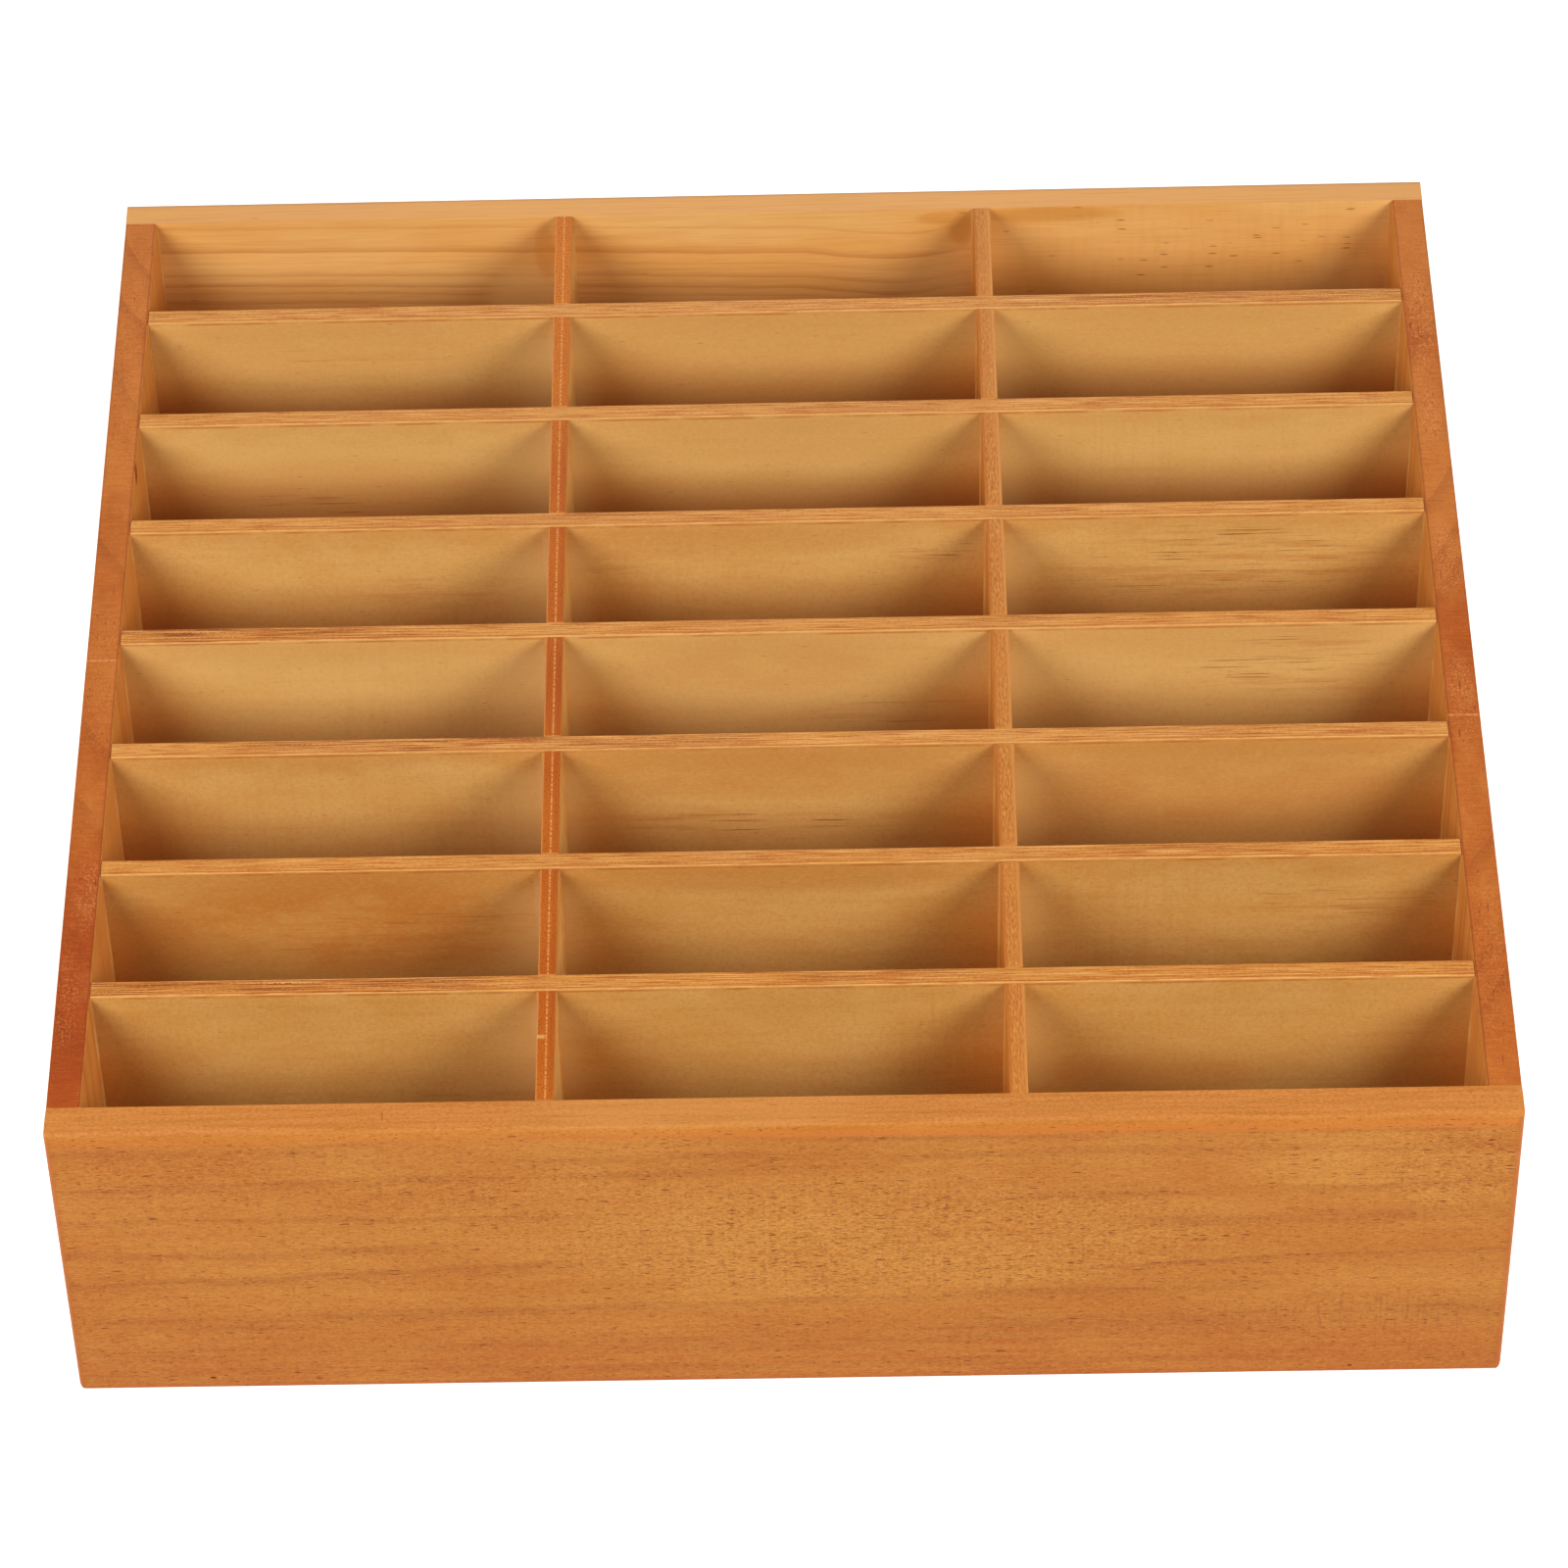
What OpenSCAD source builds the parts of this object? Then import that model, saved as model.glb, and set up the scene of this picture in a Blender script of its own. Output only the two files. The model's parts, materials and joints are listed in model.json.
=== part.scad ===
// Sloped storage box with an egg-crate grid of compartments.
// Four solid wood boards stand round a thin plywood base panel held in grooves.
// Plywood dividers cross in half laps, and every top edge follows one slope from front to back.
// Frame: X to the right, Y to the back, Z up, origin at the bottom centre of the box.

/* [Box] */
// Overall width, along the front board
box_w = 340; // [280:1:420]
// Overall depth, from the front face to the back face
box_d = 282; // [230:1:350]
// Height of the front board at its front face
front_h = 83; // [60:1:110]
// Height of the back board at its back face
back_h = 156; // [115:1:200]

/* [Boards] */
// Thickness of the front, back and side boards
board_t = 8; // [6.5:0.5:12]
// Length of the front stave of the left side, up to its glue seam
left_front_stave_l = 126; // [60:1:150]
// Length of the front stave of the right side, up to its glue seam
right_front_stave_l = 103; // [60:1:150]

/* [Grid] */
// Number of compartments from left to right
columns = 3; // [2:1:5]
// Number of compartments from front to back
rows = 8; // [4:1:10]
// Thickness of the divider plywood
divider_t = 4.2; // [3:0.1:6]
// Part of a divider's height that its half lap slots take up
lap_share = 0.5; // [0.4:0.05:0.6]

/* [Base panel] */
// Thickness of the base panel
base_t = 3; // [2:0.5:5]
// Height of the panel's underside above the surface the box stands on
base_lift = 5; // [3:0.5:9]
// Depth of the grooves that hold the panel
groove_depth = 3; // [2:0.5:5]

/* [Edges] */
// Radius along the top outer edges of the front and back boards
top_edge_r = 2.4; // [1:0.2:3]
// Radius of the front and back boards' lower corners, seen from the front
corner_r = 2.8; // [0.8:0.2:5]
// Radius of the upright and lower outer edges of the front and back boards
upright_edge_r = 1.2; // [0.4:0.2:2.4]
// Radius along the slanting top edges of the side boards, and where they meet the end boards
side_edge_r = 0.6; // [0.2:0.1:1.2]

/* [Fits] */
// Clearance on each side of a divider in a half lap slot
slot_clear = 0.1; // [0.05:0.05:0.3]
// Clearance between the bottoms of two half lap slots that meet
lap_clear = 0.2; // [0.1:0.1:0.6]
// Clearance between a divider's end and the board it is glued to
end_clear = 0.1; // [0.05:0.05:0.3]
// Clearance round the base panel's edges in their grooves
groove_clear = 0.1; // [0.05:0.05:0.3]

/* [Hidden] */
// Facets of a drawn arc
$fn = 48;
// Overrun of every cut past the solid it cuts
overrun = 1;

inner_w = box_w - 2 * board_t;
inner_d = box_d - 2 * board_t;
front_inner_y = -inner_d / 2;
back_inner_y = inner_d / 2;

// Rise of the top edges for each unit of depth, and its angle
slope = (back_h - front_h) / box_d;
slope_angle = atan(slope);

column_w = (inner_w - (columns - 1) * divider_t) / columns;
row_d = (inner_d - (rows - 1) * divider_t) / rows;
floor_z = base_lift + base_t;

// Colours of the stained wood
face_colour = [0.80, 0.52, 0.26];
side_colour = [0.72, 0.40, 0.18];
ply_colour = [0.84, 0.60, 0.33];
base_colour = [0.62, 0.36, 0.18];

cross_divider_names = [for (i = [1 : rows - 1]) str("cross_divider_", i)];
long_divider_names = [for (i = [1 : columns - 1]) str("long_divider_", i)];

// Height of the sloping top edges at depth y
function top_z(y) = front_h + (y + box_d / 2) * slope;

// Middle of cross divider i, counted from the front, and of long divider i, counted from the left
function cross_divider_y(i) = front_inner_y + i * row_d + (i - 1 / 2) * divider_t;
function long_divider_x(i) = -inner_w / 2 + i * column_w + (i - 1 / 2) * divider_t;

// Height at which the half laps of a crossing at depth y meet
function lap_z(y) = floor_z + (top_z(y) - floor_z) * lap_share;

function unit(v) = v / norm(v);

// Centre and two tangent points of a fillet of radius r at corner p between a and b
function fillet(a, p, b, r) =
    let (u = unit(a - p), v = unit(b - p), half = acos(u * v) / 2)
    [p + unit(u + v) * r / sin(half), p + u * r / tan(half), p + v * r / tan(half)];

// Convex outline whose corners each have a radius of their own, zero for a sharp one
module rounded_outline(points, radii) {
    n = len(points);
    fillets = [
        for (i = [0 : n - 1])
            fillet(points[(i + n - 1) % n], points[i], points[(i + 1) % n], radii[i])
    ];
    polygon([for (i = [0 : n - 1]) for (k = radii[i] > 0 ? [1, 2] : [0]) fillets[i][k]]);
    for (i = [0 : n - 1])
        if (radii[i] > 0)
            translate(fillets[i][0])
                circle(r = radii[i]);
}

// Extrusion along X of an outline drawn in Y and Z, centred on x = 0
module extrude_x(w) {
    rotate([90, 0, 90])
        translate([0, 0, -w / 2])
            linear_extrude(w)
                children();
}

// Extrusion along Y, from y, of an outline drawn in X and Z
module extrude_y(y, d) {
    translate([0, y + d, 0])
        rotate([90, 0, 0])
            linear_extrude(d)
                children();
}

// Outline in Y and Z from near_y to far_y, from bottom_z up to the sloping top line
function under_slope(near_y, far_y, bottom_z) =
    [[near_y, bottom_z], [far_y, bottom_z], [far_y, top_z(far_y)], [near_y, top_z(near_y)]];

// Cross-section of the front or back board from near_y to far_y, eased by the shares in eased
module end_board_section(near_y, far_y, eased) {
    lower_radii = upright_edge_r * eased;
    upper_radii = top_edge_r * eased;
    rounded_outline(
        under_slope(near_y, far_y, 0),
        [lower_radii[0], lower_radii[1], upper_radii[1], upper_radii[0]]
    );
}

// End view of the front or back board, as wide as the box, up to height h
module end_board_face(h) {
    outline = [[-box_w / 2, 0], [box_w / 2, 0], [box_w / 2, h], [-box_w / 2, h]];
    rounded_outline(outline, [corner_r, corner_r, side_edge_r, side_edge_r]);
}

// Plan of the front or back board, with its two outer upright edges eased
module end_board_plan(near_y, far_y, eased) {
    outline = [[-box_w / 2, near_y], [box_w / 2, near_y], [box_w / 2, far_y], [-box_w / 2, far_y]];
    radii = upright_edge_r * eased;
    rounded_outline(outline, [radii[0], radii[0], radii[1], radii[1]]);
}

// Front or back board from near_y to far_y; eased is 1 on the outer face and 0 on the inner one
module end_board(near_y, far_y, eased) {
    inner_y = eased[0] * far_y + eased[1] * near_y;
    groove_y = inner_y - eased[0] * groove_depth - eased[1] * overrun;
    color(face_colour)
        difference() {
            intersection() {
                extrude_x(box_w)
                    end_board_section(near_y, far_y, eased);
                extrude_y(near_y, far_y - near_y)
                    end_board_face(top_z(far_y));
                linear_extrude(top_z(far_y))
                    end_board_plan(near_y, far_y, eased);
            }
            translate([-inner_w / 2 - groove_depth, groove_y, base_lift - groove_clear])
                cube([inner_w + 2 * groove_depth, groove_depth + overrun, base_t + 2 * groove_clear]);
        }
}

module front_board() {
    end_board(-box_d / 2, front_inner_y, [1, 0]);
}

module back_board() {
    end_board(back_inner_y, box_d / 2, [0, 1]);
}

// Bar under the sloping top line of a side board, with both its top edges eased
module sloping_bar(outer_x, inner_x) {
    bar_l = 2 * box_d;
    outline = [
        [min(outer_x, inner_x), -back_h],
        [max(outer_x, inner_x), -back_h],
        [max(outer_x, inner_x), 0],
        [min(outer_x, inner_x), 0]
    ];
    translate([0, 0, top_z(0)])
        rotate([slope_angle, 0, 0])
            extrude_y(-bar_l / 2, bar_l)
                rounded_outline(outline, [0, 0, side_edge_r, side_edge_r]);
}

// Stave of a side board from depth y to y + l, on the left for side -1 and the right for side 1
module side_stave(side, y, l) {
    outer_x = side * box_w / 2;
    inner_x = side * inner_w / 2;
    groove_x = min(inner_x - side * overrun, inner_x + side * groove_depth);
    color(side_colour)
        difference() {
            intersection() {
                extrude_x(box_w)
                    polygon(under_slope(y, y + l, 0));
                sloping_bar(outer_x, inner_x);
            }
            translate([groove_x, y - overrun, base_lift - groove_clear])
                cube([groove_depth + overrun, l + 2 * overrun, base_t + 2 * groove_clear]);
        }
}

module left_front_stave() {
    side_stave(-1, front_inner_y, left_front_stave_l);
}

module left_rear_stave() {
    side_stave(-1, front_inner_y + left_front_stave_l, inner_d - left_front_stave_l);
}

module right_front_stave() {
    side_stave(1, front_inner_y, right_front_stave_l);
}

module right_rear_stave() {
    side_stave(1, front_inner_y + right_front_stave_l, inner_d - right_front_stave_l);
}

module base_panel() {
    tongue = groove_depth - groove_clear;
    color(base_colour)
        translate([-inner_w / 2 - tongue, front_inner_y - tongue, base_lift])
            cube([inner_w + 2 * tongue, inner_d + 2 * tongue, base_t]);
}

// Cross divider, slotted from below where the long dividers pass
module cross_divider(i) {
    y = cross_divider_y(i);
    slot_w = divider_t + 2 * slot_clear;
    slot_h = lap_z(y) + lap_clear / 2 - floor_z;
    color(ply_colour)
        difference() {
            extrude_x(inner_w - 2 * end_clear)
                polygon(under_slope(y - divider_t / 2, y + divider_t / 2, floor_z));
            for (j = [1 : columns - 1])
                translate([long_divider_x(j) - slot_w / 2, y - divider_t / 2 - overrun, floor_z - overrun])
                    cube([slot_w, divider_t + 2 * overrun, slot_h + overrun]);
        }
}

// Long divider, slotted from above where the cross dividers pass
module long_divider(j) {
    x = long_divider_x(j);
    slot_w = divider_t + 2 * slot_clear;
    color(ply_colour)
        difference() {
            translate([x, 0, 0])
                extrude_x(divider_t)
                    polygon(under_slope(front_inner_y + end_clear, back_inner_y - end_clear, floor_z));
            for (i = [1 : rows - 1])
                let (y = cross_divider_y(i), slot_z = lap_z(y) - lap_clear / 2)
                    translate([x - divider_t / 2 - overrun, y - slot_w / 2, slot_z])
                        cube([divider_t + 2 * overrun, slot_w, back_h - slot_z]);
        }
}

front_board();
back_board();
left_front_stave();
left_rear_stave();
right_front_stave();
right_rear_stave();
base_panel();
for (i = [1 : rows - 1])
    cross_divider(i);
for (i = [1 : columns - 1])
    long_divider(i);
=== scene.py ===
import json
import math

import bpy
from mathutils import Matrix, Vector

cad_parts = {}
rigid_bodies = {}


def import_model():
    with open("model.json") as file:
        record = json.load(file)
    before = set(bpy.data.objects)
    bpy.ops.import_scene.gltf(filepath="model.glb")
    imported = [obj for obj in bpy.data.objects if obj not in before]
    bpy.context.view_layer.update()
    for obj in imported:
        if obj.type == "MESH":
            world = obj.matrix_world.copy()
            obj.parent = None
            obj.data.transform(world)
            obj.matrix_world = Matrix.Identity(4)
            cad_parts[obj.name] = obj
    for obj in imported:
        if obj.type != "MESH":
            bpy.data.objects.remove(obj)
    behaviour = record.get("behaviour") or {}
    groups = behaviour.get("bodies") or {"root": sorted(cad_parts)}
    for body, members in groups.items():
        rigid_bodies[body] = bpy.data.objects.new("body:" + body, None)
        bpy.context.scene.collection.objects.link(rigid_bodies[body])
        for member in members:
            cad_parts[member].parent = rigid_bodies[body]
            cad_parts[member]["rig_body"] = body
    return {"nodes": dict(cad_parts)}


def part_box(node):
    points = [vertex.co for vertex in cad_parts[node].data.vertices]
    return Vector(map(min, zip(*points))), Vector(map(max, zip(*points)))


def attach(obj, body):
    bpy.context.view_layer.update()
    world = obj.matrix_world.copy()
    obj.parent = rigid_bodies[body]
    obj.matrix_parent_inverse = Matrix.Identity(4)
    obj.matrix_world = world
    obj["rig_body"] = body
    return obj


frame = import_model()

# Everything is in metres in the CAD frame. Patterns are drawn in millimetres of the same frame.
MM = 0.001

# Things that a new file starts with
for leftover in [o for o in bpy.data.objects if "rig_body" not in o and o.type in ("MESH", "LIGHT", "CAMERA")]:
    bpy.data.objects.remove(leftover)
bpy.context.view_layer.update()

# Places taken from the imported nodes, in millimetres
NODES = frame["nodes"]
LOW = {name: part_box(name)[0] / MM for name in NODES}
HIGH = {name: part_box(name)[1] / MM for name in NODES}
CROSS = sorted(n for n in NODES if n.startswith("cross_divider"))
LONG = sorted(n for n in NODES if n.startswith("long_divider"))
PLY_T = HIGH[CROSS[0]].y - LOW[CROSS[0]].y
SLOPE = (HIGH[CROSS[-1]].z - HIGH[CROSS[0]].z) / (HIGH[CROSS[-1]].y - HIGH[CROSS[0]].y)
FRONT_Y = LOW["front_board"].y
FRONT_TOP_Z = HIGH[CROSS[0]].z + (FRONT_Y - HIGH[CROSS[0]].y) * SLOPE
HALF_W = HIGH["front_board"].x
BOARD_T = HIGH["right_front_stave"].x - LOW["right_front_stave"].x
INNER_W = 2 * LOW["right_front_stave"].x
INNER_D = 2 * LOW["back_board"].y
INNER_TOP_Z = FRONT_TOP_Z + (LOW["back_board"].y - FRONT_Y) * SLOPE


def rgb(red, green, blue):
    """Linear colour of an sRGB colour that is given from 0 to 255."""
    parts = [v / 255 for v in (red, green, blue)]
    return tuple(v / 12.92 if v <= 0.04045 else ((v + 0.055) / 1.055) ** 2.4 for v in parts) + (1.0,)


# Strength of the wood's sheen
SPECULAR = 0.2


class Shader:
    """The nodes of one material. Vectors are millimetres of the frame."""

    def __init__(self, name):
        self.material = bpy.data.materials.new(name)
        self.material.use_nodes = True
        self.tree = self.material.node_tree
        self.tree.nodes.clear()
        coordinates = self.add("TexCoord")
        self.place = self.scaled(coordinates.outputs["Object"], 1 / MM, 1 / MM, 1 / MM)
        self.x, self.y, self.z = self.parts(self.place)
        self.normal = self.parts(coordinates.outputs["Normal"])

    def add(self, kind, settings=None, **inputs):
        node = self.tree.nodes.new("ShaderNode" + kind)
        for key, value in (settings or {}).items():
            setattr(node, key, value)
        for key, value in inputs.items():
            self.feed(node.inputs[key.replace("_", " ")], value)
        return node

    def feed(self, socket, value):
        if isinstance(value, bpy.types.NodeSocket):
            self.tree.links.new(value, socket)
        elif value is not None:
            socket.default_value = value

    def calc(self, operation, *values, clamp=False):
        node = self.add("Math", {"operation": operation, "use_clamp": clamp})
        for socket, value in zip(node.inputs, values):
            self.feed(socket, value)
        return node.outputs[0]

    def scaled(self, vector, x, y, z):
        node = self.add("VectorMath", {"operation": "MULTIPLY"})
        self.feed(node.inputs[0], vector)
        node.inputs[1].default_value = (x, y, z)
        return node.outputs[0]

    def moved(self, vector, x, y, z):
        node = self.add("VectorMath", {"operation": "ADD"})
        self.feed(node.inputs[0], vector)
        node.inputs[1].default_value = (x, y, z)
        return node.outputs[0]

    def parts(self, vector):
        return self.add("SeparateXYZ", Vector=vector).outputs[:3]

    def joined(self, x, y, z):
        return self.add("CombineXYZ", X=x, Y=y, Z=z).outputs[0]

    def sheet(self, u, length, v, width, third):
        """Coordinates of a flat pattern with features about this long along u and wide along v."""
        return self.joined(self.calc("DIVIDE", u, length), self.calc("DIVIDE", v, width), third)

    def line(self, u, length, second, third):
        """Coordinates of a pattern that changes only along u."""
        return self.joined(self.calc("DIVIDE", u, length), second, third)

    def ease(self, value, low, high, start=0.0, end=1.0):
        """Smooth change from start to end as value goes from low to high."""
        node = self.add("MapRange", {"interpolation_type": "SMOOTHSTEP"}, Value=value)
        for key, number in (("From Min", low), ("From Max", high), ("To Min", start), ("To Max", end)):
            self.feed(node.inputs[key], number)
        return node.outputs[0]

    def noise(self, vector, detail=2.0, roughness=0.5):
        node = self.add("TexNoise", Vector=vector, Scale=1.0, Detail=detail, Roughness=roughness)
        return node.outputs[0]

    def mix(self, factor, under, over, blend="MIX"):
        node = self.add("Mix", {"data_type": "RGBA", "blend_type": blend})
        self.feed(node.inputs[0], factor)
        self.feed(node.inputs[6], under)
        self.feed(node.inputs[7], over)
        return node.outputs[2]

    def tint(self, colour, pattern, low, high, strength, tone):
        """Colour mixed with up to this much of the tone as the pattern goes from low to high."""
        return self.mix(self.ease(pattern, low, high, 0.0, strength), colour, tone)

    def ramp(self, value, stops, interpolation="EASE"):
        """Grey ramp through (place, level) stops."""
        node = self.add("ValToRGB", Fac=value)
        node.color_ramp.interpolation = interpolation
        elements = node.color_ramp.elements
        while len(elements) < len(stops):
            elements.new(0.5)
        for element, (place, level) in zip(elements, stops):
            element.position = place
        for element, (place, level) in zip(elements, stops):
            element.color = (level, level, level, 1)
        return node.outputs[0]

    def product(self, *values):
        result = values[0]
        for value in values[1:]:
            result = self.calc("MULTIPLY", result, value)
        return result

    def grain(self, order, seed):
        """Millimetres with X along the grain, Y across it and Z through the board."""
        axes = {"x": self.x, "y": self.y, "z": self.z}
        vector = self.joined(*[axes[a] for a in order])
        return self.moved(vector, seed * 137.0, seed * 71.0, seed * 53.0)

    def stretched(self, vector, length, width, depth=None):
        """The vector with features of about one unit made this long, wide and deep in millimetres."""
        return self.scaled(vector, 1 / length, 1 / width, 1 / (depth or width))

    def flecks(self, grain, length, width, density, size=0.17):
        """Short dark vessel lines along the grain; density is their share of all cells."""
        cell = self.add("TexVoronoi", {"feature": "F1"}, Scale=1.0,
                        Vector=self.stretched(grain, length, width))
        chance = self.parts(cell.outputs["Color"])[0]
        spot = self.ease(cell.outputs["Distance"], size, size * 0.45)
        kept = self.ease(self.calc("ADD", chance, density), 0.97, 1.03)
        return self.product(spot, kept)

    def stripe(self, value, centre, width, core=0.3):
        """One at the centre, fading to zero at this distance from it."""
        distance = self.calc("ABSOLUTE", self.calc("SUBTRACT", value, centre))
        return self.ease(distance, width, width * core)

    def window(self, value, low, high, soft):
        """One between low and high, fading out over soft on the inside of both."""
        return self.product(self.ease(value, low, low + soft), self.ease(value, high, high - soft))

    def patch(self, u, v, place):
        """One inside an ellipse of centre and radii (u, v, ru, rv), fading out to its rim."""
        du = self.calc("MULTIPLY_ADD", u, 1 / place[2], -place[0] / place[2])
        dv = self.calc("MULTIPLY_ADD", v, 1 / place[3], -place[1] / place[3])
        square = self.calc("MULTIPLY_ADD", du, du, self.calc("MULTIPLY", dv, dv))
        return self.ease(square, 1.0, 0.1)

    def patches(self, u, v, places):
        """The strongest of several patches, each with its strength last."""
        result = 0.0
        for place in places:
            spot = self.calc("MULTIPLY", self.patch(u, v, place), place[4])
            result = self.calc("MAXIMUM", spot, result)
        return result

    def centred(self, value, size):
        """A noise value from 0 to 1 turned into a shift of up to half this size each way."""
        return self.calc("MULTIPLY_ADD", value, size, -size / 2)

    def on_top(self):
        return self.ease(self.normal[2], 0.5, 0.85)

    def below_top(self):
        """Height in millimetres below the sloping plane of the top edges."""
        plane = self.calc("MULTIPLY_ADD", self.y, SLOPE, FRONT_TOP_Z - FRONT_Y * SLOPE)
        return self.calc("SUBTRACT", plane, self.z)

    def pitted(self, colour, tone, pits, roughness):
        """Colour and roughness with dark dull pits in them."""
        return self.mix(pits, colour, tone), self.calc("MULTIPLY_ADD", pits, 0.4, roughness, clamp=True)

    def finish(self, colour, roughness, height, depth):
        """The material with this colour and roughness, and a bump this deep in millimetres."""
        bump = self.add("Bump", Strength=1.0, Distance=depth * MM, Height=height)
        shader = self.add("BsdfPrincipled", Roughness=roughness, Normal=bump.outputs[0])
        self.feed(shader.inputs["Base Color"], colour)
        shader.inputs["Specular IOR Level"].default_value = SPECULAR
        output = self.add("OutputMaterial")
        self.tree.links.new(shader.outputs[0], output.inputs["Surface"])
        return self.material


# Front board
FRONT_LIGHT = rgb(203, 137, 58)
FRONT_MID = rgb(187, 114, 40)
FRONT_DARK = rgb(146, 74, 20)
FRONT_RED = rgb(180, 94, 32)
FRONT_TOP = rgb(211, 133, 64)
FRONT_BLOND = rgb(222, 156, 84)
FRONT_CREST = rgb(206, 116, 40)
PORE = rgb(98, 28, 0)
# Growth rings across the face: height at the middle, rise and bow over 100 mm,
# width of the soft side, darkness, and the stretch of the face they cross
FRONT_RINGS = [
    (78.6, 0.9, 0.0, 2.4, 0.55, -190, -85),
    (79.6, 0.1, 0.0, 1.2, 0.60, -30, 190),
    (74.2, 0.2, 0.0, 2.4, 0.50, -80, 190),
    (70.6, 0.0, 0.0, 1.0, 0.40, -25, 35),
    (70.0, 2.6, 0.0, 2.2, 0.60, -190, 10),
    (58.0, 2.7, 0.0, 2.2, 0.50, 30, 190),
    (55.2, -0.2, 0.0, 1.8, 0.50, -190, -35),
    (48.5, 3.4, 0.0, 3.4, 0.60, 70, 190),
    (46.5, 0.9, 0.0, 2.4, 0.60, -190, -70),
    (42.0, 4.1, 0.0, 2.8, 0.70, -190, -40),
    (32.6, 6.6, -0.9, 1.6, 0.70, 55, 190),
    (27.0, 2.5, 0.0, 2.8, 0.60, -170, 125),
    (24.6, 3.0, 0.0, 2.6, 0.40, -165, -95),
    (15.5, 4.1, 0.0, 6.0, 0.55, 20, 190),
    (14.0, 0.8, 0.0, 5.0, 0.30, -190, 60),
    (5.5, 0.5, 0.0, 3.0, 0.30, -190, 190),
]
# Patches of the face as (x, z, x radius, z radius, strength)
FRONT_PALE = [
    (12, 45, 85, 26, 1.0), (-118, 37, 40, 12, 0.5), (140, 69, 44, 9, 0.9), (160, 57, 16, 9, 0.8),
    (-20, 13, 90, 9, 0.4),
]
FRONT_PITTED = [
    (25, 47, 95, 24, 1.0), (-135, 69, 46, 12, 0.4), (155, 67, 20, 16, 0.9), (-60, 61, 60, 14, 0.5),
]
# Small dark mark on the top face, as centre and radii in x and y
TOP_MARK = (-92.0, FRONT_Y + 4.5, 0.35, 1.6)
# Dark flecks as (x, z, length, width)
FRONT_MARKS = [(-137.6, 3.8, 2.2, 1.0), (29.5, 9.4, 3.0, 0.5), (50.7, 9, 3.2, 0.5), (134, 2.5, 1.6, 0.8)]


def growth_ring(s, height, ring):
    """Darkness of one growth ring: a soft lower side and a crisp upper one."""
    middle, rise, bow, width, dark, low, high = ring
    line = s.calc("MULTIPLY_ADD", s.x, rise / 100, middle)
    if bow:
        line = s.calc("MULTIPLY_ADD", s.product(s.x, s.x), bow / 10000, line)
    above = s.calc("SUBTRACT", height, line)
    body = s.product(s.ease(above, -width * 1.2, 0), s.ease(above, width * 0.7, 0))
    return s.product(body, s.window(s.x, low, high, 25), dark)


def front_pits(s, grain, rings, pitted):
    """Vessel lines of three lengths, and the single dark flecks."""
    crowd = s.noise(s.stretched(grain, 22, 6), detail=2)
    pitted = s.calc("MULTIPLY_ADD", rings, 0.45, pitted)
    density = s.product(s.calc("MULTIPLY_ADD", pitted, 0.62, 0.2), s.ease(crowd, 0.3, 0.6, 0.3, 1.0))
    pores = s.flecks(grain, 5.0, 0.5, s.calc("MULTIPLY", density, 0.3), size=0.32)
    fine = s.flecks(s.moved(grain, 31, 17, 5), 2.4, 0.38, s.calc("MULTIPLY", density, 0.5), size=0.34)
    dust_density = s.calc("MULTIPLY_ADD", density, 0.5, 0.15)
    dust = s.flecks(s.moved(grain, 3, 57, 15), 1.2, 0.34, dust_density, size=0.38)
    pits = s.calc("MAXIMUM", s.product(pores, 0.95), s.product(fine, 0.85), clamp=True)
    pits = s.calc("MAXIMUM", pits, s.product(dust, 0.5))
    for x, z, length, width in FRONT_MARKS:
        mark = s.patch(s.x, s.z, (x, z, length / 2, width / 2))
        pits = s.calc("MAXIMUM", pits, s.product(mark, 0.9))
    return pits


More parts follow.
